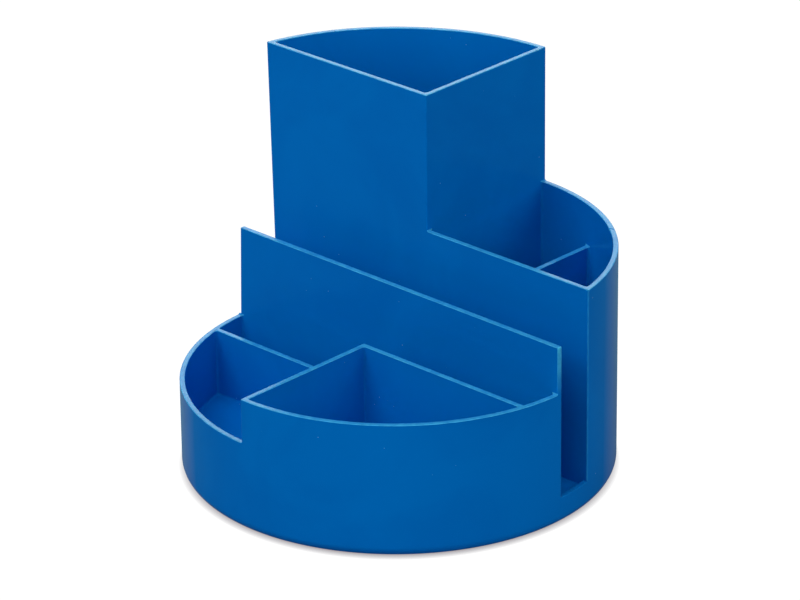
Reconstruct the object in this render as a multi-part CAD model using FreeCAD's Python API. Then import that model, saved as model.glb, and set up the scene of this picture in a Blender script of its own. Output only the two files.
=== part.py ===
import FreeCAD, Part
import os

# Round desk organizer with seven compartments, moulded in one plastic.
# Frame: +Z up, Z = 0 on the table, the vertical axis of the round body at X = Y = 0.
# +X runs along the letter slot, -Y is the low front, +Y the high back with the tower.

Vec = FreeCAD.Vector

# ---- driving dimensions, in millimetres ----
outer_radius = 70.0          # round body
arc_wall = 1.7               # thickness of the curved outer walls
panel_wall = 1.7             # thickness of the flat walls and dividers
letter_panel = 1.8           # thickness of the free-standing letter wall

foot_round = 3.4             # rounded lower outer edge
foot_width = 6.0             # radial width of the ring that the body stands on
floor_underside = 5.8        # depth of the hollow under the floor
floor_thick = 1.8            # thickness of the floor
sill_step = 1.9              # height of the slot's sills above the floor

tray_rim = 30.5              # low rim: clip tray and left arc
cup_rim = 45.5               # front cup and front arc
inner_rim = 61.0             # divider inside the right pot
letter_top = 61.5            # letter wall
pot_rim = 75.5               # right pot
tower_top = 122.0            # pencil tower

slot_front = -0.4            # Y of the letter wall's rear face
slot_width = 13.7            # clear width of the letter slot
pocket_width = 12.4          # clear width of the long pocket in front of the letter wall
tower_side = 0.65            # X of the tower's outer side face
cup_side = -1.0              # X of the front cup's outer side face
inner_divider = 23.4         # X of the left face of the divider in the right pot
letter_setback = 0.8         # the letter wall's left end stands inside the low rim
letter_lean = 0.9            # and leans further in towards its top

# ---- values that follow from them ----
inner_radius = outer_radius - arc_wall
floor_top = floor_underside + floor_thick
sill_top = floor_top + sill_step
slot_rear = slot_front + slot_width
panel_rear = slot_rear + panel_wall
letter_front = slot_front - letter_panel
divider_rear = letter_front - pocket_width
divider_front = divider_rear - panel_wall
cup_side_inner = cup_side + panel_wall
tower_side_inner = tower_side - panel_wall
reach = 2 * outer_radius     # past the body on every side


def disc(radius, low, high):
    """Solid round disc between two heights."""
    return Part.makeCylinder(radius, high - low, Vec(0, 0, low))


def block(x_low, x_high, y_low, y_high, low, high):
    """Upright box between limits along X, Y and Z."""
    return Part.makeBox(x_high - x_low, y_high - y_low, high - low, Vec(x_low, y_low, low))


def arc_piece(x_low, x_high, y_low, y_high, high):
    """Stretch of the curved wall inside a plan rectangle, from the foot ring up to a rim."""
    wall = disc(outer_radius, floor_underside, high).cut(disc(inner_radius, floor_underside, high))
    return wall.common(block(x_low, x_high, y_low, y_high, floor_underside, high))


def divider(x_low, x_high, y_low, y_high, high):
    """Flat wall inside the curved one, from the floor up to its rim."""
    return disc(inner_radius, floor_top, high).common(block(x_low, x_high, y_low, y_high, floor_top, high))


def through_wall(x_low, x_high, y_low, y_high, high):
    """Flat wall that runs out to the round outline, and down onto the foot ring there."""
    upper = disc(outer_radius, floor_top, high).common(block(x_low, x_high, y_low, y_high, floor_top, high))
    lower = arc_piece(x_low, x_high, y_low, y_high, floor_top)
    return upper.fuse(lower.Solids).removeSplitter()


def foot_ring():
    """Ring under the outer wall, hollow inside, with its lower outer edge rounded."""
    outer = disc(outer_radius, 0, floor_underside)
    lower_edges = [edge for edge in outer.Edges if edge.BoundBox.ZMax < 0.01]
    outer = outer.makeFillet(min(foot_round, 0.9 * floor_underside, 0.9 * foot_width), lower_edges)
    return outer.cut(disc(outer_radius - foot_width, 0, floor_underside))


def letter_wall():
    """Free-standing wall in front of the slot; above the low rim its left end leans inwards."""
    wall = through_wall(-reach, reach, letter_front, slot_front, letter_top)
    foot_x = letter_setback - outer_radius
    corners = [Vec(-reach, letter_front - 1, tray_rim), Vec(foot_x, letter_front - 1, tray_rim),
               Vec(foot_x + letter_lean, letter_front - 1, letter_top),
               Vec(-reach, letter_front - 1, letter_top)]
    cut_face = Part.Face(Part.makePolygon(corners + corners[:1]))
    return wall.cut(cut_face.extrude(Vec(0, letter_panel + 2, 0)))


nodes = {
    # base
    "foot_ring": foot_ring(),
    "floor_plate": disc(inner_radius, floor_underside, floor_top),
    # curved outer wall, four heights
    "left_arc_wall": arc_piece(-reach, cup_side, -reach, letter_front, tray_rim),
    "front_arc_wall": arc_piece(cup_side, reach, -reach, letter_front, cup_rim),
    "right_arc_wall": arc_piece(tower_side, reach, panel_rear, reach, pot_rim),
    "tower_arc_wall": arc_piece(-reach, tower_side, panel_rear, reach, tower_top),
    # letter slot: its two sides, and the sill across each of its ends
    "letter_wall": letter_wall(),
    "pot_front_wall": through_wall(tower_side, reach, slot_rear, panel_rear, pot_rim),
    "tower_front_wall": through_wall(-reach, tower_side, slot_rear, panel_rear, tower_top),
    "left_sill": arc_piece(-reach, 0, slot_front, slot_rear, sill_top),
    "right_sill": arc_piece(0, reach, slot_front, slot_rear, sill_top),
    # tower and right pot
    "tower_side_wall": divider(tower_side_inner, tower_side, panel_rear, reach, tower_top),
    "pot_divider": divider(inner_divider, inner_divider + panel_wall, panel_rear, reach, inner_rim),
    # low front
    "cup_side_wall": divider(cup_side, cup_side_inner, -reach, divider_front, cup_rim),
    "cup_rear_wall": divider(cup_side, reach, divider_front, divider_rear, cup_rim),
    "tray_divider": divider(-reach, cup_side, divider_front, divider_rear, tray_rim),
}

os.makedirs("parts", exist_ok=True)
for name, shape in nodes.items():
    solids = shape.Solids
    if not shape.isValid() or len(solids) != 1:
        raise ValueError("%s is not one valid solid" % name)
    solids[0].exportStep("parts/%s.step" % name)
    print("%-18s %8.2f cm3" % (name, solids[0].Volume / 1000))
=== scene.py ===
import math

import bpy
import numpy as np
from mathutils import Matrix, Vector


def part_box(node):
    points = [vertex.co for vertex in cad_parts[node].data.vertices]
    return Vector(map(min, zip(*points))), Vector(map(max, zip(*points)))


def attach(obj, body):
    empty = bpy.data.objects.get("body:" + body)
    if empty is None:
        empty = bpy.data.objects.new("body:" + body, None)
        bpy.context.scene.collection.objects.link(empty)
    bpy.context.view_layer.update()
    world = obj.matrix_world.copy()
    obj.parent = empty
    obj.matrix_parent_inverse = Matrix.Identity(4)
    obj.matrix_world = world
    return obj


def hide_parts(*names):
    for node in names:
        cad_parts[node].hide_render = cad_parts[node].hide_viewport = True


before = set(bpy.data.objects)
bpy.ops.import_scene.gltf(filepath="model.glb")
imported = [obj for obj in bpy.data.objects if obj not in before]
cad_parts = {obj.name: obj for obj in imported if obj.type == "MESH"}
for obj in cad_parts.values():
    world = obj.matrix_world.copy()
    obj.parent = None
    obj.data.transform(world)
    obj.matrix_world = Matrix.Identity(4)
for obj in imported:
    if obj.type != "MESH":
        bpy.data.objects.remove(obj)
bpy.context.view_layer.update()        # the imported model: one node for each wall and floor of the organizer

mm = 0.001
tiny = 1e-6              # two heights this close are the same

# how the moulding is finished where the plain walls of the frame are sharp
moulding = {
    "rimRound": 0.22 * mm,        # rounding along both edges of every rim
    "cornerRound": 0.4 * mm,      # rounding down the free upright corners
    "sharpRound": 0.015 * mm,     # the same corner where it runs flush into a neighbour
    "innerRound": 0.7 * mm,       # hollow rounding where two walls meet inside
    "floorRound": 0.7 * mm,       # hollow rounding where a wall meets the floor
    "rimSweep": 0.6,              # share of innerRound by which a rim rises at a taller wall
    "sweepReach": 3,              # height over which that rise fades in, in innerRounds
    "topShine": 0.4,              # how strong the painted highlight is on a rim's flat top, beside its rounded edges
    "buried": 0.05 * mm,          # how far a wall's end goes past its neighbour's own rounding
    "sunk": 0.2 * mm,             # how far a wall's foot goes below the floor's top
    "pastFloor": 0.2 * mm,        # this far outside the floor plate a wall stands on the foot ring
    "flushStep": 0.1 * mm,        # height over which a corner changes from flush to free
    "arcStep": math.radians(1),   # plan angle of one facet of a curved wall
    "endMargin": 0.6 * mm,        # a straight wall's middle starts and stops this far from its ends
    "endShare": 0.4,              # but never further in than this share of its length
    "cornerSteps": 6,             # facets of an upright corner, an even number
    "rimSteps": 4,                # facets of a rim's quarter round
    "sharpAngle": math.radians(38),   # edges sharper than this are shaded sharp
}


def frameSizes():
    # every main size, read from the boxes and points of the frame's nodes
    low, high = {}, {}
    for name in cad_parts:
        low[name], high[name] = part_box(name)
    ring = meshPoints("foot_ring")
    wall = meshPoints("letter_wall")
    leftTop = wall[np.abs(wall[:, 2] - high["letter_wall"].z) < tiny, 0].min()
    ledge = wall[(np.abs(wall[:, 2] - high["left_arc_wall"].z) < tiny) & (wall[:, 0] < 0), 0].max()
    return {
        "outer": high["foot_ring"].x,
        "inner": high["floor_plate"].x,
        "footInner": np.hypot(ring[:, 0], ring[:, 1]).min(),
        "footRound": high["foot_ring"].x - ring[ring[:, 2] < tiny, 0].max(),
        "floorUnder": low["floor_plate"].z,
        "floorTop": high["floor_plate"].z,
        "sillTop": high["left_sill"].z,
        "trayRim": high["left_arc_wall"].z,
        "cupRim": high["front_arc_wall"].z,
        "dividerRim": high["pot_divider"].z,
        "letterRim": high["letter_wall"].z,
        "potRim": high["right_arc_wall"].z,
        "towerRim": high["tower_arc_wall"].z,
        "slotFront": high["letter_wall"].y,
        "letterFront": low["letter_wall"].y,
        "slotRear": low["pot_front_wall"].y,
        "panelRear": high["pot_front_wall"].y,
        "cupRear": high["cup_rear_wall"].y,
        "cupRearInner": low["cup_rear_wall"].y,
        "cupSide": low["cup_side_wall"].x,
        "cupSideInner": high["cup_side_wall"].x,
        "towerSide": high["tower_side_wall"].x,
        "towerSideInner": low["tower_side_wall"].x,
        "dividerLeft": low["pot_divider"].x,
        "dividerRight": high["pot_divider"].x,
        "letterLedge": ledge,
        "letterLeftTop": leftTop,
    }


def meshPoints(name):
    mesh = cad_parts[name].data
    points = np.empty(len(mesh.vertices) * 3)
    mesh.vertices.foreach_get("co", points)
    return points.reshape(-1, 3)


size = frameSizes()
print("sizes read from the frame")

# A wall face in plan is ("flat", (nx, ny), distance along that outward normal) or ("round", +1 or -1,
# radius): a circle about the upright axis, facing away from the axis (+1) or towards it (-1).


def flat(nx, ny, place):
    return ("flat", (nx, ny), np.asarray(place, float))


def roundFace(facing, radius):
    return ("round", facing, np.asarray(radius, float))


def moved(face, inward):
    # the same face moved into its wall: the distance, or the radius, changes by that much
    kind, facing, place = face
    return (kind, facing, place - (inward if kind == "flat" else facing * inward))


def crossing(first, second, near):
    # where two faces cross in plan: two lines by Cramer's rule, or a line and a circle, where the
    # point is the line's foot plus or minus the half chord, on the side that the point near lies
    if first[0] == "round":
        first, second = second, first
    (ax, ay), da = first[1], first[2]
    if second[0] == "flat":
        (bx, by), db = second[1], second[2]
        det = ax * by - ay * bx
        x, y = (da * by - db * ay) / det, (ax * db - bx * da) / det
    else:
        half = np.sqrt(second[2] ** 2 - da ** 2)
        half = half * (1 if near[1] * ax - near[0] * ay > 0 else -1)
        x, y = da * ax - half * ay, da * ay + half * ax
    return np.stack(np.broadcast_arrays(x, y), -1)


def onFace(face, points):
    # the nearest points of a face: along its normal for a line, along the radius for a circle
    kind, facing, place = face
    if kind == "flat":
        normal = np.array(facing, float)
        return points + (place - points @ normal)[..., None] * normal
    return points * (place / np.linalg.norm(points, axis=-1))[..., None]


def cornerArc(first, second, radius, near, steps):
    # Fillet between two faces at every height: its centre is where both faces cross after moving in
    # by the radius (out, if negative), and its points go round that centre from face to face.
    centre = crossing(moved(first, radius), moved(second, radius), near)
    start, end = onFace(first, centre) - centre, onFace(second, centre) - centre
    turn = np.arctan2(end[:, 1], end[:, 0]) - np.arctan2(start[:, 1], start[:, 0])
    turn = (turn + np.pi) % (2 * np.pi) - np.pi
    angle = np.arctan2(start[:, 1], start[:, 0])[:, None] + turn[:, None] * np.linspace(0, 1, steps + 1)
    reach = np.linalg.norm(start, axis=1)[:, None, None]
    return centre[:, None] + reach * np.stack((np.cos(angle), np.sin(angle)), -1)


def between(face, start, end, shares):
    # points of a face between two of its points, at shares of the line's length or circle's angle
    share = np.asarray(shares)[None, :]
    if face[0] == "flat":
        return start[:, None] + share[..., None] * (end - start)[:, None]
    first = np.arctan2(start[:, 1], start[:, 0])[:, None]
    turn = np.arctan2(end[:, 1], end[:, 0])[:, None] - first
    turn = (turn + np.pi) % (2 * np.pi) - np.pi
    radius = np.broadcast_to(face[2], (len(start),))[:, None]
    angle = first + turn * share
    return np.stack((radius * np.cos(angle), radius * np.sin(angle)), -1)


def wallHeights(rim, *extra):
    # levels of a wall from its foot up: floor rounding, any extra ones, and the rim's quarter round
    cove, edge = moulding["floorRound"], moulding["rimRound"]
    quarter = np.linspace(0, math.pi / 2, moulding["rimSteps"] + 1)
    low = size["floorTop"] + cove * (1 - np.cos(quarter))
    high = rim - edge * (1 - np.sin(quarter))
    middle = [z for z in extra if z > low[-1] and z < high[0]]
    return np.concatenate(([size["floorTop"] - moulding["sunk"]], low, sorted(middle), high))


def inset(heights, rim, cove=moulding["floorRound"]):
    # how far a face stands back at each height: the rim's quarter round at the top, and, as a
    # negative amount, the hollow quarter round at the floor
    edge = moulding["rimRound"]
    up = np.clip(heights - (rim - edge), 0, edge)
    back = edge - np.sqrt(edge ** 2 - up ** 2)
    if cove > 0:
        down = np.clip(size["floorTop"] + cove - heights, 0, cove)
        aboveFoot = heights > size["floorTop"] - 0.5 * moulding["sunk"]
        back = back - (cove - np.sqrt(cove ** 2 - down ** 2)) * aboveFoot
    return back


def freeCorner(heights, above):
    # radius of an outer upright corner: rounded where it stands free, sharp where it is flush
    return np.where(heights > above, moulding["cornerRound"], moulding["sharpRound"])


def joinedEnd(left, right, neighbour, heights, rim, neighbourRim, near, flush=()):
    # The stations of a wall's end against a neighbour, from the wall towards it: each face runs into
    # the neighbour by a hollow fillet, or straight where it is flush, and one more station is buried.
    steps, radius = moulding["cornerSteps"] // 2, moulding["innerRound"]
    into = moulding["rimRound"] + moulding["buried"]
    beside = moved(neighbour, inset(heights, neighbourRim))
    plain = moved(neighbour, np.zeros(len(heights)))
    deep = moved(neighbour, np.full(len(heights), into))
    gaps = radius * (1 - np.sin(np.linspace(0, math.pi / 2, steps + 1)))
    sides = []
    for face, name in ((left, "left"), (right, "right")):
        if name in flush:
            chain = np.stack([crossing(face, moved(plain, -gap), near) for gap in gaps], 1)
            last = crossing(moved(face, into), deep, near)
        else:
            chain = cornerArc(face, beside, np.full(len(heights), -radius), near, steps)
            last = onFace(deep, chain[:, -1])
        sides.append(np.concatenate((chain, last[:, None]), 1))
    lift = np.zeros(steps + 2)
    if neighbourRim > rim + mm:       # the rim sweeps up where it meets a taller wall
        lift[:-1] = moulding["rimSweep"] * (radius - np.sqrt(radius ** 2 - (radius - gaps) ** 2))
        lift[-1] = lift[-2]
    return sides[0], sides[1], lift


def freeEnd(left, right, cap, leftRadius, rightRadius, near):
    # the stations of a wall's free end: both faces turn onto the end face by a rounded corner
    steps = moulding["cornerSteps"] // 2
    return (cornerArc(left, cap, leftRadius, near, steps),
            cornerArc(right, cap, rightRadius, near, steps),
            np.zeros(steps + 1))


def turnedCorner(outside, inside, outerRadius, near):
    # a corner that two walls share: outer rounding and inner hollow, station by station, cut in the
    # middle so that each wall takes its half
    steps = moulding["cornerSteps"]
    hollow = np.full(len(outerRadius), -moulding["innerRound"])
    outer = cornerArc(outside[0], outside[1], outerRadius, near, steps)
    inner = cornerArc(inside[0], inside[1], hollow, near, steps)
    half = steps // 2
    flatLift = np.zeros(half + 1)
    return ((outer[:, :half + 1], inner[:, :half + 1], flatLift),
            (outer[:, half:], inner[:, half:], flatLift))


def reversedEnd(end):
    # the same stations in the other order, for the wall's start
    return end[0][:, ::-1], end[1][:, ::-1], end[2][::-1]


def wallMesh(name, start, end, heights, rim, leftFace, rightFace, shares=(), warp=None,
             dips=None, extraHighlight=None, highlightStrength=1.0):
    # A wall is a ladder of stations along its path. Each station is an upright loop: up the left
    # face, across the rim and down the right face. The loops are joined in order, and the first and
    # the last are closed by strips from left to right. The stations between both ends lie at shares
    # of the way, and dips let the rim down there. The edge mask, which the material turns into a
    # painted highlight and a rougher skin, is the highlight strength times a curve over the rim, or
    # the extra highlight given for each point where that is more. Warp moves the points last.
    m = moulding
    if not len(shares):
        length = np.linalg.norm(start[0][1, -1] - end[0][1, 0])
        margin = min(m["endMargin"] / length, m["endShare"])
        shares = (margin, 1 - margin)

    def chain(side, face):
        middle = between(face, start[side][:, -1], end[side][:, 0], shares)
        return np.concatenate((start[side], middle, end[side]), 1)

    left, right = chain(0, leftFace), chain(1, rightFace)
    sag = np.zeros(len(shares)) if dips is None else -np.asarray(dips)
    lift = np.concatenate((start[2], sag, end[2]))
    levels, stations = left.shape[:2]
    reach = m["sweepReach"] * m["innerRound"]
    rising = np.clip((heights - (rim - reach)) / reach, 0, 1)
    height = np.repeat(heights[:, None], stations, 1) + rising[:, None] * lift[None, :]
    widest = np.maximum(np.linalg.norm(left[1], axis=-1), np.linalg.norm(right[1], axis=-1))
    height[0] = np.where(widest > size["inner"] + m["pastFloor"], size["floorUnder"], height[0])
    loop = np.concatenate((left, right[::-1]), 0)
    upright = np.concatenate((height, height[::-1]), 0)
    points = np.concatenate((loop, upright[..., None]), -1).reshape(-1, 3)
    index = np.arange(2 * levels * stations).reshape(2 * levels, stations)
    after = np.roll(index, -1, 0)
    skin = np.stack((index[:, :-1], index[:, 1:], after[:, 1:], after[:, :-1]), -1).reshape(-1, 4)
    facing = index[::-1]
    caps = []
    for column, back in ((0, False), (-1, True)):
        quad = np.stack((index[:levels - 1, column], index[1:levels, column],
                         facing[1:levels, column], facing[:levels - 1, column]), -1)
        caps.append(quad[:, ::-1] if back else quad)
    faces = np.concatenate([skin] + caps)
    # the painted highlight's curve over the rim: from 0 where its rounding starts to 1 half way up, then to
    # topShine
    up = np.concatenate((heights - rim, (heights - rim)[::-1])) / m["rimRound"]
    rimMask = highlightStrength * (np.clip(2 + 2 * up, 0, 1) - (1 - m["topShine"]) * np.clip(1 + 2 * up, 0, 1))
    mask = np.repeat(rimMask[:, None], stations, 1).reshape(-1)
    if extraHighlight is not None:
        mask = np.maximum(mask, extraHighlight(points))
    if warp is not None:
        points = warp(points)
    return meshPiece(name, points, faces, mask)


def meshPiece(name, points, faces, rimMask, fans=np.zeros((0, 3), int)):
    # numbers into a mesh of four-sided faces and three-sided fans; if the volume enclosed by the
    # four-sided ones (sum of the corner products of their triangles) is negative all are turned
    quads = points[faces]
    volume = sum(np.einsum("ij,ij->i", quads[:, 0], np.cross(quads[:, a], quads[:, b])).sum()
                 for a, b in ((1, 2), (2, 3)))
    if volume < 0:
        faces, fans = faces[:, ::-1], fans[:, ::-1]
    mesh = bpy.data.meshes.new(name)
    mesh.from_pydata(points, [], faces.tolist() + fans.tolist())
    layer = mesh.attributes.new("rim", "FLOAT", "POINT")
    layer.data.foreach_set("value", np.asarray(rimMask, np.float32))
    mesh.validate()
    mesh.update()
    mesh.set_sharp_from_angle(angle=moulding["sharpAngle"])
    piece = bpy.data.objects.new(name, mesh)
    bpy.context.scene.collection.objects.link(piece)
    weighted = piece.modifiers.new("evenShading", "WEIGHTED_NORMAL")
    weighted.keep_sharp = True
    weighted.weight = 100
    return piece


def evenShares(count):
    # shares of the way that part it evenly
    return np.arange(1, count + 1) / (count + 1)


def arcShares(start, end):
    # even stations of a curved stretch between two plan directions, one for each facet
    turn = math.atan2(end[1], end[0]) - math.atan2(start[1], start[0])
    turn = abs((turn + math.pi) % (2 * math.pi) - math.pi)
    return evenShares(max(1, int(turn / moulding["arcStep"])))


# the pencil tower: three walls round a quarter of the body, which share three upright corners
tower = {
    "leanTop": -1.1 * mm,         # how far the left edge moves along x at the rim
    "leanBelow": 0.55 * mm,       # and near the letter wall's height
    "leanFrom": 0.2,              # heights between which the lean fades in, as shares of that height
    "leanTo": 0.85,
    "leanSide": -35 * mm,         # x past which nothing leans
    "leanLevels": (0.3, 0.55, 0.85),    # where the walls bend for it, as shares of that height
    "frontStations": 8,           # and across the front wall
    "aboveSill": 1.0 * mm,        # height over which the left corner opens above the sill
}


def pulledEdge(points):
    # The tower's free left edge leans: x moves by a straight line in height, faded in from the right
    # and from below by smooth steps.
    t = tower
    low, high, rim = t["leanFrom"] * size["letterRim"], t["leanTo"] * size["letterRim"], size["towerRim"]
    up = np.clip((points[:, 2] - high) / (rim - high), 0, 1)
    shift = t["leanBelow"] + (t["leanTop"] - t["leanBelow"]) * up
    side = np.clip((t["leanSide"] - points[:, 0]) / (size["outer"] + t["leanSide"]), 0, 1)
    foot = np.clip((points[:, 2] - low) / (high - low), 0, 1)
    shift = shift * side ** 2 * (3 - 2 * side) * foot ** 2 * (3 - 2 * foot)
    return np.stack((points[:, 0] + shift, points[:, 1], points[:, 2]), 1)


def towerWalls():
    # the front wall and the curved one share the free left corner, which the warp pulls
    s, rim, step = size, size["towerRim"], moulding["flushStep"]
    bends = [share * s["letterRim"] for share in tower["leanLevels"]]
    z = wallHeights(rim, s["sillTop"], s["sillTop"] + tower["aboveSill"], *bends,
                    s["potRim"] - step, s["potRim"])
    bare, coved = inset(z, rim, 0), inset(z, rim)
    front, frontIn = moved(flat(0, -1, -s["slotRear"]), bare), moved(flat(0, 1, s["panelRear"]), coved)
    side = moved(flat(1, 0, s["towerSide"]), coved)
    sideIn = moved(flat(-1, 0, -s["towerSideInner"]), coved)
    arc, arcIn = moved(roundFace(1, s["outer"]), bare), moved(roundFace(-1, s["inner"]), coved)
    abovePot = freeCorner(z, s["potRim"] - step / 2)
    leftTurn = turnedCorner((arc, front), (arcIn, frontIn), freeCorner(z, s["sillTop"]), (-1, 0.2))
    rightTurn = turnedCorner((front, side), (frontIn, sideIn), abovePot, (0, 0.2))
    backTurn = turnedCorner((side, arc), (sideIn, arcIn), abovePot, (0, 1))
    shares = arcShares((0, 1), (-1, 0.2))
    return {
        "tower_front_wall": wallMesh("towerFrontWall", leftTurn[1], rightTurn[0], z, rim, front, frontIn,
                                     evenShares(tower["frontStations"]), pulledEdge),
        "tower_side_wall": wallMesh("towerSideWall", rightTurn[1], backTurn[0], z, rim, side, sideIn),
        "tower_arc_wall": wallMesh("towerArcWall", backTurn[1], leftTurn[0], z, rim, arc, arcIn,
                                   shares, pulledEdge),
    }


# the right pots: the panel behind the slot, the arc from it to the tower, and the divider
pots = {
    "aboveSill": 0.3 * mm,        # height over which the outer corner opens above the sill
    "cornerShine": 0.22,          # how pale the painted highlight makes that corner beside its faces
    "cornerReach": 1.2,           # and how far round it, in cornerRounds
    "nickShare": 0.51,            # place of the nick in the right rim, as a share of the arc
    "nickWide": 0.012,            # its width, as a share of the arc
    "nickFlat": 0.3,              # share of that width that is let down all the way
    "nickDeep": 0.9 * mm,
}


def potWalls():
    # the divider stands lower than the rest, and has its own levels
    s, rim = size, size["potRim"]
    z = wallHeights(rim, s["sillTop"], s["sillTop"] + pots["aboveSill"])
    bare, coved = inset(z, rim, 0), inset(z, rim)
    front, frontIn = moved(flat(0, -1, -s["slotRear"]), bare), moved(flat(0, 1, s["panelRear"]), coved)
    arc, arcIn = moved(roundFace(1, s["outer"]), bare), moved(roundFace(-1, s["inner"]), coved)
    towerFace = flat(1, 0, s["towerSide"])
    turn = turnedCorner((front, arc), (frontIn, arcIn), freeCorner(z, s["sillTop"]), (1, 0.2))
    atTower = joinedEnd(front, frontIn, towerFace, z, rim, s["towerRim"], (0, 0.2), ("left",))
    atBack = joinedEnd(arc, arcIn, towerFace, z, rim, s["towerRim"], (0, 1), ("left",))
    shares = arcShares((1, 0.2), (0, 1))
    corner = (math.sqrt(s["outer"] ** 2 - s["slotRear"] ** 2), s["slotRear"])

    def cornerHighlight(points):
        # a painted highlight down the outer upright corner, a little paler than the faces beside it, down to
        # the sill
        away = np.hypot(points[:, 0] - corner[0], points[:, 1] - corner[1])
        beside = (away < pots["cornerReach"] * moulding["cornerRound"]) & (points[:, 2] > s["sillTop"])
        return pots["cornerShine"] * beside

    low = s["dividerRim"]
    zLow = wallHeights(low)
    left, right = (moved(flat(-1, 0, -s["dividerLeft"]), inset(zLow, low)),
                   moved(flat(1, 0, s["dividerRight"]), inset(zLow, low)))
    near = joinedEnd(left, right, flat(0, 1, s["panelRear"]), zLow, low, rim, (0.3, 0.2))
    far = joinedEnd(left, right, roundFace(-1, s["inner"]), zLow, low, rim, (0.3, 1))
    return {
        "pot_front_wall": wallMesh("potFrontWall", reversedEnd(atTower), turn[0], z, rim, front, frontIn,
                                   extraHighlight=cornerHighlight),
        "right_arc_wall": wallMesh("rightArcWall", turn[1], atBack, z, rim, arc, arcIn,
                                   *nicked(shares), cornerHighlight),
        "pot_divider": wallMesh("potDivider", reversedEnd(near), far, zLow, low, left, right),
    }


def nicked(shares):
    # A short nick across the rim: four more stations, the middle two let down. It gives wallMesh's
    # shares, warp (none) and dips.
    p = pots
    at = p["nickShare"] + 0.5 * np.array((-1, -p["nickFlat"], p["nickFlat"], 1)) * p["nickWide"]
    order = np.argsort(np.concatenate((shares, at)))
    dips = np.concatenate((np.zeros(len(shares)), (0, p["nickDeep"], p["nickDeep"], 0)))
    return np.concatenate((shares, at))[order], None, dips[order]


def cupWalls():
    # the front cup: its rear and side walls share a corner, and so do its side wall and the arc
    s, rim, step = size, size["cupRim"], moulding["flushStep"]
    z = wallHeights(rim, s["trayRim"] - step, s["trayRim"])
    bare, coved = inset(z, rim, 0), inset(z, rim)
    rear, rearIn = moved(flat(0, 1, s["cupRear"]), coved), moved(flat(0, -1, -s["cupRearInner"]), coved)
    side, sideIn = moved(flat(-1, 0, -s["cupSide"]), coved), moved(flat(1, 0, s["cupSideInner"]), coved)
    arc, arcIn = moved(roundFace(1, s["outer"]), bare), moved(roundFace(-1, s["inner"]), coved)
    aboveTray = freeCorner(z, s["trayRim"] - step / 2)
    rearTurn = turnedCorner((rear, side), (rearIn, sideIn), aboveTray, (0, -0.2))
    frontTurn = turnedCorner((side, arc), (sideIn, arcIn), aboveTray, (0, -1))
    atRight = joinedEnd(rear, rearIn, roundFace(-1, s["inner"]), z, rim, rim, (1, -0.2))
    atLetter = joinedEnd(arc, arcIn, flat(0, -1, -s["letterFront"]), z, rim, s["letterRim"], (1, 0),
                         ("left",))
    shares = arcShares((0, -1), (1, 0))
    return {
        "cup_rear_wall": wallMesh("cupRearWall", reversedEnd(atRight), rearTurn[0], z, rim,
                                  rear, rearIn),
        "cup_side_wall": wallMesh("cupSideWall", rearTurn[1], frontTurn[0], z, rim, side, sideIn),
        "front_arc_wall": wallMesh("frontArcWall", frontTurn[1], atLetter, z, rim, arc, arcIn,
                                   shares),
    }


def trayWalls():
    # the clip tray: the low arc from the letter wall to the cup, and the divider behind it
    s, rim = size, size["trayRim"]
    z = wallHeights(rim)
    bare, coved = inset(z, rim, 0), inset(z, rim)
    arc, arcIn = moved(roundFace(1, s["outer"]), bare), moved(roundFace(-1, s["inner"]), coved)
    rear, front = moved(flat(0, 1, s["cupRear"]), coved), moved(flat(0, -1, -s["cupRearInner"]), coved)
    cupFace = flat(-1, 0, -s["cupSide"])
    atLetter = joinedEnd(arc, arcIn, flat(0, -1, -s["letterFront"]), z, rim, s["letterRim"], (-1, 0),
                         ("left",))
    atCup = joinedEnd(arc, arcIn, cupFace, z, rim, s["cupRim"], (0, -1), ("left",))
    atArc = joinedEnd(rear, front, roundFace(-1, s["inner"]), z, rim, rim, (-1, -0.2))
    atCorner = joinedEnd(rear, front, cupFace, z, rim, s["cupRim"], (0, -0.2), ("left",))
    shares = arcShares((-1, 0), (0, -1))
    return {
        "left_arc_wall": wallMesh("leftArcWall", reversedEnd(atLetter), atCup, z, rim, arc, arcIn,
                                  shares),
        "tray_divider": wallMesh("trayDivider", reversedEnd(atArc), atCorner, z, rim, rear, front),
    }


# the free-standing letter wall, and the two sills that close the foot of the slot
letter = {
    "aboveSill": 0.3 * mm,        # height over which its rear corners open above the sills
    "ledge": 0.02 * mm,           # height over which its left end steps in above the tray's rim
    "rise": 0.45 * mm,            # how much higher its rim is at the left end
    "sillStations": 12,
    "sillShine": 0.08,            # how pale the painted highlight on the sills' edges is
}


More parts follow.
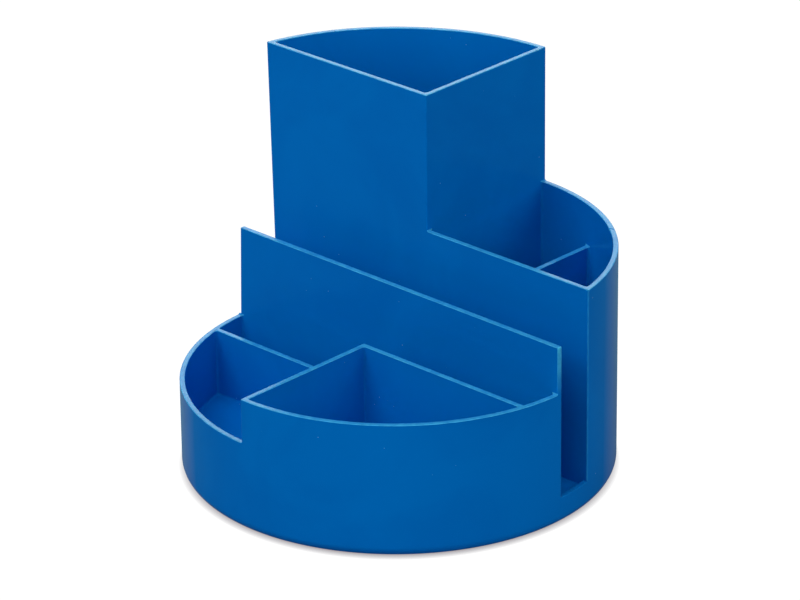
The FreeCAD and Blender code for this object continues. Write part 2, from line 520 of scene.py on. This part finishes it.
def letterWalls():
    s, rim, step = size, size["letterRim"], moulding["flushStep"]
    ledge = letter["ledge"]
    z = wallHeights(rim, s["sillTop"], s["sillTop"] + letter["aboveSill"], s["trayRim"],
                    s["trayRim"] + ledge, s["cupRim"] - step, s["cupRim"])
    bare, coved = inset(z, rim, 0), inset(z, rim)
    rear, front = moved(flat(0, 1, s["slotFront"]), bare), moved(flat(0, -1, -s["letterFront"]), coved)
    share = np.clip((z - s["trayRim"]) / (rim - s["trayRim"]), 0, 1)
    leaning = s["letterLedge"] + share * (s["letterLeftTop"] - s["letterLedge"])
    leftEnd = moved(flat(-1, 0, np.where(z > s["trayRim"] + ledge / 2, -leaning, s["outer"])), bare)
    rightEnd = moved(roundFace(1, s["outer"]), bare)
    aboveSill = freeCorner(z, s["sillTop"])
    atLeft = freeEnd(rear, front, leftEnd, aboveSill, freeCorner(z, s["trayRim"]), (-1, 0))
    atRight = freeEnd(rear, front, rightEnd, aboveSill, freeCorner(z, s["cupRim"] - step / 2), (1, 0))

    def freeEdgeHighlight(points):
        # the right end stands free above the cup's rim, and gets a painted highlight as pale as a rim's edge
        # there
        return (points[:, 0] > s["outer"] - moulding["cornerRound"]) & (points[:, 2] > s["cupRim"])

    def raisedLeft(points):
        # the top stands a little higher towards the left: z grows in straight lines along x, and
        # upwards from the tray's rim
        up = np.clip((points[:, 2] - s["trayRim"]) / (rim - s["trayRim"]), 0, 1)
        along = np.clip(0.5 - points[:, 0] / (2 * s["outer"]), 0, 1)
        return points + (letter["rise"] * up * along)[:, None] * np.array((0, 0, 1))

    made = {"letter_wall": wallMesh("letterWall", reversedEnd(atLeft), atRight, z, rim, rear, front,
                                    warp=raisedLeft, extraHighlight=freeEdgeHighlight)}

    low = s["sillTop"]
    zLow = wallHeights(low)
    arc, arcIn = (moved(roundFace(1, s["outer"]), inset(zLow, low, 0)),
                  moved(roundFace(-1, s["inner"]), inset(zLow, low, 0)))
    for node, name, near in (("left_sill", "leftSill", (-1, 0)), ("right_sill", "rightSill", (1, 0))):
        ends = []
        for y in (s["slotFront"], s["slotRear"]):
            plane = flat(0, 1, np.full(len(zLow), y))
            ends.append((crossing(arc, plane, near)[:, None], crossing(arcIn, plane, near)[:, None],
                         np.zeros(1)))
        made[node] = wallMesh(name, ends[0], ends[1], zLow, low, arc, arcIn,
                              evenShares(letter["sillStations"]), highlightStrength=letter["sillShine"])
    return made


# the foot ring and the floor plate, both turned about the upright axis
base = {
    "innerToe": 0.4 * mm,         # small rounding inside the foot ring's lower edge
    "underRound": 1.0 * mm,       # hollow rounding between the ring and the floor's underside
    "gateRadius": 4.0 * mm,       # shallow dish under the middle of the floor, where it was filled
    "gateDepth": 0.5 * mm,
    "pipRadius": 0.9 * mm,        # broken sprue left standing in that dish
    "pipHeight": 0.35 * mm,
    "pipCurve": ((0.5, 1), (0.85, 0.8), (1, 0)),     # shares of its radius and height, going out
    "dishCurve": ((0.8, 0), (0.93, 0.3), (1, 1)),    # shares of the dish's radius and depth lost
    "midRing": 0.5,               # one more ring across the floor's top, as a share of its radius
    "facets": 360,                # sides of the full circle
    "roundSteps": 8,              # facets of a quarter round
}


def turnedPiece(name, profile, closed):
    # Surface of revolution: every point (radius, height) of the profile carried round the upright
    # axis. A closed profile gives a ring; an open one starts and ends on the axis, at two poles.
    profile = np.asarray(profile)
    angle = np.linspace(0, 2 * np.pi, base["facets"], endpoint=False)
    rings = profile if closed else profile[1:-1]
    grid = np.stack((rings[:, :1] * np.cos(angle), rings[:, :1] * np.sin(angle),
                     np.repeat(rings[:, 1:], len(angle), 1)), -1)
    index = np.arange(grid.shape[0] * grid.shape[1]).reshape(grid.shape[:2])
    turned = np.roll(index, -1, 1)
    lower, upper = (index, np.roll(index, -1, 0)) if closed else (index[:-1], index[1:])
    lowerNext, upperNext = (turned, np.roll(turned, -1, 0)) if closed else (turned[:-1], turned[1:])
    faces = np.stack((lower, lowerNext, upperNext, upper), -1).reshape(-1, 4)
    points = grid.reshape(-1, 3)
    if closed:
        return meshPiece(name, points, faces, np.zeros(len(points)))
    poles = np.array([[0, 0, profile[0, 1]], [0, 0, profile[-1, 1]]])
    first = np.full(len(angle), len(points))
    fans = np.concatenate((np.stack((first, turned[0], index[0]), -1),
                           np.stack((first + 1, index[-1], turned[-1]), -1)))
    points = np.concatenate((points, poles))
    return meshPiece(name, points, faces, np.zeros(len(points)), fans)


def quarterRound(radius, height, bend, first, last):
    # points of a circle about (radius, height) between two angles in degrees
    angle = np.radians(np.linspace(first, last, base["roundSteps"] + 1))
    return np.stack((radius + bend * np.cos(angle), height + bend * np.sin(angle)), 1)


def footRing():
    # closed profile: the outer face, the rounded lower edge, the toe and the hollow under the floor
    s, b = size, base
    outside = quarterRound(s["outer"] - s["footRound"], s["footRound"], s["footRound"], 0, -90)
    toe = quarterRound(s["footInner"] + b["innerToe"], b["innerToe"], b["innerToe"], -90, -180)
    under = quarterRound(s["footInner"] - b["underRound"], s["floorUnder"] - b["underRound"],
                         b["underRound"], 0, 90)
    top = [[s["outer"], s["floorUnder"]]]
    return turnedPiece("footRing", np.concatenate((top, outside, toe, under)), True)


def floorPlate():
    # open profile: from the filling mark out along the underside, and back across the top
    s, b = size, base
    low, high = s["floorUnder"], s["floorTop"]
    deep = low + b["gateDepth"]
    pip = [[r * b["pipRadius"], deep - h * b["pipHeight"]] for r, h in b["pipCurve"]]
    dish = [[r * b["gateRadius"], deep - h * b["gateDepth"]] for r, h in b["dishCurve"]]
    edge = [[s["inner"], low], [s["inner"], high], [b["midRing"] * s["inner"], high]]
    profile = [[0, deep - b["pipHeight"]]] + pip + dish + edge + [[0, high]]
    return turnedPiece("floorPlate", profile, False)


# the blue plastic of every piece
plastic = {
    "base": (0.0, 0.156, 0.62, 1),       # blue pigment, deep enough to glow in the pockets
    "light": (0.0, 0.174, 0.66, 1),      # where the resin flowed thicker
    "highlightColour": (0.09, 0.6, 0.97, 1),        # painted highlight along the edges of rims and corners
    "wallHighlight": 0.9,                     # how much of that painted highlight the walls and the base get
    "baseHighlight": 0.0,
    "sheenTint": (0.0, 0.55, 1.0, 1),    # colour of its reflections seen straight on
    "ior": 1.2,
    "edgeSheen": (0.19, 0.06, 0.0, 1),   # warm painted sheen, added to the colour where the outside is seen very obliquely
    "edgeFrom": 0.69,                    # how oblique it starts and is full, 0 facing to 1 edge on
    "edgeTo": 0.9,
    "facing": 0.5,                       # Layer Weight's own blend, at which that scale is plain
    "wallRough": 0.16,
    "rimRough": 0.2,
    "baseRough": 0.2,
    "flowRough": 0.05,                   # how much rougher a flow mark is
    "flowScale": 22.0,                   # flow marks, per metre
    "flowBend": 1.2,                     # how far their noise bends itself
    "flowRange": (0.3, 0.7),             # noise values that are no mark and a full one
    "grainScale": 2600.0,                # spark-eroded grain of the mould
    "grainDepth": 0.004 * mm,
    "waveScale": 60.0,                   # slight unevenness of the moulded faces
    "waveDepth": 0.02 * mm,
    "speckCell": 140.0,                  # specks of dust: cells per metre, and radius in cells
    "speckRadius": 0.03,
    "speckColour": (0.3, 0.55, 0.9, 1),
    "speckCover": 0.35,
    "highlightBreakScale": 350.0,                  # breaks in the painted edge highlight, per metre
    "highlightBreakRange": (0.35, 0.65),           # noise values that are a break and none
    "highlightLeast": 0.55,                   # how much of the painted highlight an edge keeps at a break
}


def newGroup(name, inputs, outputs):
    # an empty node group with named inputs and outputs, and the nodes at its two ends
    group = bpy.data.node_groups.new(name, "ShaderNodeTree")
    for label, kind, value in inputs:
        socket = group.interface.new_socket(name=label, in_out="INPUT", socket_type=kind)
        socket.default_value = value
    for label, kind in outputs:
        group.interface.new_socket(name=label, in_out="OUTPUT", socket_type=kind)
    return group, group.nodes.new("NodeGroupInput"), group.nodes.new("NodeGroupOutput")


def addNode(tree, kind, settings=None, **values):
    # One node: settings are its own properties, and values its inputs, each a number or another
    # node's output. An input goes by its name, with _ for a space, or by i and its number.
    node = tree.nodes.new(kind)
    for key, value in (settings or {}).items():
        setattr(node, key, value)
    for key, value in values.items():
        numbered = key[0] == "i" and key[1:].isdigit()
        socket = node.inputs[int(key[1:]) if numbered else key.replace("_", " ")]
        if isinstance(value, bpy.types.NodeSocket):
            tree.links.new(value, socket)
        else:
            socket.default_value = value
    return node


def flowGroup():
    # slow swirls of the resin: a mask from soft noise that bends itself
    group, source, sink = newGroup("flowMarks", [("Position", "NodeSocketVector", (0, 0, 0)),
                                                 ("Scale", "NodeSocketFloat", 20.0)],
                                   [("Mask", "NodeSocketFloat")])
    noise = addNode(group, "ShaderNodeTexNoise", Vector=source.outputs["Position"],
                    Scale=source.outputs["Scale"], Detail=3.0, Roughness=0.5,
                    Distortion=plastic["flowBend"])
    low, high = plastic["flowRange"]
    spread = addNode(group, "ShaderNodeMapRange", {"interpolation_type": "SMOOTHSTEP"},
                     Value=noise.outputs["Fac"], From_Min=low, From_Max=high)
    group.links.new(spread.outputs["Result"], sink.inputs["Mask"])
    return group


def grainGroup():
    # height of the moulded surface: fine grain on top of slow waves
    group, source, sink = newGroup("mouldGrain", [("Position", "NodeSocketVector", (0, 0, 0)),
                                                  ("Grain Scale", "NodeSocketFloat", 2600.0),
                                                  ("Grain Depth", "NodeSocketFloat", 0.0),
                                                  ("Wave Scale", "NodeSocketFloat", 60.0),
                                                  ("Wave Depth", "NodeSocketFloat", 0.0)],
                                   [("Height", "NodeSocketFloat")])
    fine = addNode(group, "ShaderNodeTexNoise", Vector=source.outputs["Position"],
                   Scale=source.outputs["Grain Scale"], Detail=2.0)
    slow = addNode(group, "ShaderNodeTexNoise", Vector=source.outputs["Position"],
                   Scale=source.outputs["Wave Scale"], Detail=1.0)
    fineUp = addNode(group, "ShaderNodeMath", {"operation": "MULTIPLY"}, i0=fine.outputs["Fac"],
                     i1=source.outputs["Grain Depth"])
    both = addNode(group, "ShaderNodeMath", {"operation": "MULTIPLY_ADD"}, i0=slow.outputs["Fac"],
                   i1=source.outputs["Wave Depth"], i2=fineUp.outputs[0])
    group.links.new(both.outputs[0], sink.inputs["Height"])
    return group


def speckGroup():
    # sparse specks: small balls at the points of a cell pattern, seen where a face cuts one
    group, source, sink = newGroup("dustSpecks", [("Position", "NodeSocketVector", (0, 0, 0)),
                                                  ("Cells", "NodeSocketFloat", 140.0),
                                                  ("Radius", "NodeSocketFloat", 0.02)],
                                   [("Mask", "NodeSocketFloat")])
    cells = addNode(group, "ShaderNodeTexVoronoi", Vector=source.outputs["Position"],
                    Scale=source.outputs["Cells"])
    inside = addNode(group, "ShaderNodeMath", {"operation": "LESS_THAN"}, i0=cells.outputs["Distance"],
                     i1=source.outputs["Radius"])
    group.links.new(inside.outputs[0], sink.inputs["Mask"])
    return group


def highlightGroup():
    # painted edge highlight, made uneven: the rim attribute times a broken noise
    group, source, sink = newGroup("paintedEdgeHighlight", [("Position", "NodeSocketVector", (0, 0, 0)),
                                                ("Edge", "NodeSocketFloat", 0.0),
                                                ("Amount", "NodeSocketFloat", 0.5)],
                                   [("Mask", "NodeSocketFloat")])
    noise = addNode(group, "ShaderNodeTexNoise", Vector=source.outputs["Position"],
                    Scale=plastic["highlightBreakScale"], Detail=3.0)
    low, high = plastic["highlightBreakRange"]
    broken = addNode(group, "ShaderNodeMapRange", Value=noise.outputs["Fac"], From_Min=low,
                     From_Max=high, To_Min=plastic["highlightLeast"])
    onEdge = addNode(group, "ShaderNodeMath", {"operation": "MULTIPLY"}, i0=source.outputs["Edge"],
                     i1=broken.outputs["Result"])
    mask = addNode(group, "ShaderNodeMath", {"operation": "MULTIPLY", "use_clamp": True},
                   i0=onEdge.outputs[0], i1=source.outputs["Amount"])
    group.links.new(mask.outputs[0], sink.inputs["Mask"])
    return group


effects = {"flow": flowGroup(), "grain": grainGroup(), "speck": speckGroup(), "highlight": highlightGroup()}


def placeEffect(tree, name, **values):
    # one of the shared effects, put in a material with its own values
    return addNode(tree, "ShaderNodeGroup", {"node_tree": effects[name]}, **values)


def blend(tree, factor, first, second, how="MIX"):
    # two colours mixed, or the second added to the first
    return addNode(tree, "ShaderNodeMix", {"data_type": "RGBA", "blend_type": how}, i0=factor,
                   i6=first, i7=second).outputs[2]


def blueMoulding(name, rough, highlightAmount):
    # the organizer's plastic: pigment with flow marks, a grained skin, painted highlights on rims and edges,
    # a painted sheen towards the outline, and dust
    p = plastic
    material = bpy.data.materials.new(name)
    material.use_nodes = True
    tree = material.node_tree
    shader = tree.nodes["Principled BSDF"]
    place = tree.nodes.new("ShaderNodeTexCoord").outputs["Object"]
    edge = addNode(tree, "ShaderNodeAttribute", {"attribute_name": "rim"}).outputs["Fac"]
    flow = placeEffect(tree, "flow", Position=place, Scale=p["flowScale"]).outputs["Mask"]
    speck = placeEffect(tree, "speck", Position=place, Cells=p["speckCell"],
                        Radius=p["speckRadius"]).outputs["Mask"]
    # mask of the painted highlight on rims and edges, from the rim attribute
    highlight = placeEffect(tree, "highlight", Position=place, Edge=edge, Amount=highlightAmount).outputs["Mask"]
    height = placeEffect(tree, "grain", Position=place, Grain_Scale=p["grainScale"],
                         Grain_Depth=p["grainDepth"], Wave_Scale=p["waveScale"],
                         Wave_Depth=p["waveDepth"]).outputs["Height"]
    # colour: pigment, painted edge highlights and dust
    colour = blend(tree, flow, p["base"], p["light"])
    colour = blend(tree, highlight, colour, p["highlightColour"])
    faint = addNode(tree, "ShaderNodeMath", {"operation": "MULTIPLY"}, i0=speck, i1=p["speckCover"])
    colour = blend(tree, faint.outputs[0], colour, p["speckColour"])
    # a painted sheen towards the outline, only outside the middle of the curved wall's thickness
    facing = addNode(tree, "ShaderNodeLayerWeight", Blend=p["facing"]).outputs["Facing"]
    oblique = addNode(tree, "ShaderNodeMapRange", Value=facing, From_Min=p["edgeFrom"],
                      From_Max=p["edgeTo"])
    flatPlace = addNode(tree, "ShaderNodeVectorMath", {"operation": "MULTIPLY"}, i0=place, i1=(1, 1, 0))
    radius = addNode(tree, "ShaderNodeVectorMath", {"operation": "LENGTH"}, i0=flatPlace.outputs[0])
    outside = addNode(tree, "ShaderNodeMath", {"operation": "GREATER_THAN"}, i0=radius.outputs["Value"],
                      i1=0.5 * (size["inner"] + size["outer"]))
    paintedSheen = addNode(tree, "ShaderNodeMath", {"operation": "MULTIPLY"}, i0=oblique.outputs["Result"],
                    i1=outside.outputs[0])
    colour = blend(tree, paintedSheen.outputs[0], colour, p["edgeSheen"], "ADD")
    tree.links.new(colour, shader.inputs["Base Color"])
    # skin: the rims' own roughness, rougher flow marks, and the grain as relief
    toRim = addNode(tree, "ShaderNodeMapRange", Value=edge, To_Min=rough, To_Max=p["rimRough"])
    uneven = addNode(tree, "ShaderNodeMath", {"operation": "MULTIPLY_ADD"}, i0=flow, i1=p["flowRough"],
                     i2=toRim.outputs["Result"])
    tree.links.new(uneven.outputs[0], shader.inputs["Roughness"])
    bump = addNode(tree, "ShaderNodeBump", Distance=1.0, Strength=1.0, Height=height)
    tree.links.new(bump.outputs["Normal"], shader.inputs["Normal"])
    shader.inputs["IOR"].default_value = p["ior"]
    shader.inputs["Specular Tint"].default_value = p["sheenTint"]
    return material


wallBlue = blueMoulding("wallBlue", plastic["wallRough"], plastic["wallHighlight"])
baseBlue = blueMoulding("baseBlue", plastic["baseRough"], plastic["baseHighlight"])
print("plastic made")

walls = {"foot_ring": footRing(), "floor_plate": floorPlate()}
for makeGroup in (towerWalls, potWalls, cupWalls, trayWalls, letterWalls):
    walls.update(makeGroup())
for node, piece in walls.items():
    piece.data.materials.append(baseBlue if node in ("foot_ring", "floor_plate") else wallBlue)
    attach(piece, "root")
    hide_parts(node)
print("walls and base built:", len(walls))

view = {
    "azimuth": 43.476,            # degrees round from the front towards the right
    "elevation": 24.338,
    "roll": -0.625,
    "lens": 207.97,               # millimetres, like the sensor's width
    "sensor": 36,
    "place": (0.92125, -0.970466, 0.661139),
    "clip": (0.05, 20),           # nearest and farthest thing that it sees
}


def makeCamera():
    # three axes from the angles: right, back and up, turned about the line of sight by the roll
    a, e, r = (math.radians(view[k]) for k in ("azimuth", "elevation", "roll"))
    right = Vector((math.cos(a), math.sin(a), 0))
    back = Vector((math.sin(a) * math.cos(e), -math.cos(a) * math.cos(e), math.sin(e)))
    up = back.cross(right)
    rolledRight = math.cos(r) * right + math.sin(r) * up
    rolledUp = math.cos(r) * up - math.sin(r) * right
    data = bpy.data.cameras.new("camera")
    data.lens = view["lens"]
    data.sensor_width = view["sensor"]
    data.clip_start, data.clip_end = view["clip"]
    camera = bpy.data.objects.new("camera", data)
    turn = Matrix((rolledRight, rolledUp, back)).transposed().to_4x4()
    camera.matrix_world = Matrix.Translation(view["place"]) @ turn
    bpy.context.scene.collection.objects.link(camera)
    bpy.context.scene.camera = camera


makeCamera()
print("camera placed")

studio = {
    "floorReach": 3.0,                       # half of the floor's side
    "floorColour": (0.08, 0.29, 0.38, 1),    # the floor as the object sees it
    "floorShown": (1.06, 1.06, 1.06, 1),     # the floor as the camera sees it
    "shadowTone": (0.36, 0.34, 0.37, 1),     # and the painted shadow where the object comes close to it
    "shadowReach": 2.5 * mm,
    "shadowSamples": 16,
    "skyDim": 0.03,                          # the room as the object sees it
    "skyShown": 1.0,                         # the backdrop as the camera sees it
    "lightColour": (0.95, 0.955, 0.83),
    "target": (0, 0, 0.06),                  # every softbox faces this point from this distance
    "distance": 1.6,
    # softboxes: name, azimuth, elevation, side in metres, power in watts
    "boxes": (("keyBox", -10, 50, 0.9, 11.8), ("lowFrontBox", -10, 20, 0.9, 2.3),
              ("backBox", 223, 25, 1.0, 11.8), ("overBox", 0, 89, 1.0, 5.0),
              ("cameraBox", 40, 35, 0.9, 4.3), ("rightBox", 100, 20, 0.9, 7.7),
              ("highRightBox", 70, 60, 0.9, 2.5), ("leftBox", -45, 25, 0.9, 1.4)),
}


def makeFloor():
    # A plain square. The camera sees it white, with a painted shadow where something is close above it; to
    # other rays it is matt and dim, and from below it is clear.
    mesh = bpy.data.meshes.new("studioFloor")
    reach = studio["floorReach"]
    corners = [(-reach, -reach, 0), (reach, -reach, 0), (reach, reach, 0), (-reach, reach, 0)]
    mesh.from_pydata(corners, [], [(0, 1, 2, 3)])
    floor = bpy.data.objects.new("studioFloor", mesh)
    material = bpy.data.materials.new("paleFloor")
    material.use_nodes = True
    tree = material.node_tree
    tree.nodes.remove(tree.nodes["Principled BSDF"])
    seen = addNode(tree, "ShaderNodeLightPath").outputs["Is Camera Ray"]
    dim = addNode(tree, "ShaderNodeBsdfDiffuse", Color=studio["floorColour"])
    # painted contact shadow: ambient occlusion darkens the floor's glow towards shadowTone
    near = addNode(tree, "ShaderNodeAmbientOcclusion", {"samples": studio["shadowSamples"]},
                   Distance=studio["shadowReach"])
    tone = blend(tree, near.outputs["AO"], studio["shadowTone"], studio["floorShown"])
    pale = addNode(tree, "ShaderNodeEmission", Color=tone)
    above = addNode(tree, "ShaderNodeMixShader", i0=seen, i1=dim.outputs[0], i2=pale.outputs[0])
    clear = addNode(tree, "ShaderNodeBsdfTransparent")
    behind = addNode(tree, "ShaderNodeNewGeometry").outputs["Backfacing"]
    shown = addNode(tree, "ShaderNodeMixShader", i0=behind, i1=above.outputs[0], i2=clear.outputs[0])
    tree.links.new(shown.outputs[0], tree.nodes["Material Output"].inputs["Surface"])
    mesh.materials.append(material)
    bpy.context.scene.collection.objects.link(floor)


def makeRoom():
    # white to the camera, dim to everything else
    world = bpy.data.worlds.new("studio")
    bpy.context.scene.world = world
    world.use_nodes = True
    tree = world.node_tree
    seen = addNode(tree, "ShaderNodeLightPath").outputs["Is Camera Ray"]
    dim = tree.nodes["Background"]
    dim.inputs["Color"].default_value = (1, 1, 1, 1)
    dim.inputs["Strength"].default_value = studio["skyDim"]
    white = addNode(tree, "ShaderNodeBackground", Color=(1, 1, 1, 1), Strength=studio["skyShown"])
    both = addNode(tree, "ShaderNodeMixShader", i0=seen, i1=dim.outputs[0], i2=white.outputs[0])
    tree.links.new(both.outputs[0], tree.nodes["World Output"].inputs["Surface"])


def makeLights():
    # square softboxes on a sphere round the object, facing its middle and hidden from the camera
    for name, azimuth, elevation, side, power in studio["boxes"]:
        a, e = math.radians(azimuth), math.radians(elevation)
        back = Vector((math.sin(a) * math.cos(e), -math.cos(a) * math.cos(e), math.sin(e)))
        data = bpy.data.lights.new(name, "AREA")
        data.shape = "SQUARE"
        data.size = side
        data.energy = power
        data.color = studio["lightColour"]
        box = bpy.data.objects.new(name, data)
        box.location = Vector(studio["target"]) + back * studio["distance"]
        box.rotation_mode = "QUATERNION"
        box.rotation_quaternion = (-back).to_track_quat("-Z", "Y")
        box.visible_camera = False
        bpy.context.scene.collection.objects.link(box)


makeFloor()
makeRoom()
makeLights()
bpy.context.scene.view_settings.view_transform = "Standard"
print("floor, room and softboxes placed")
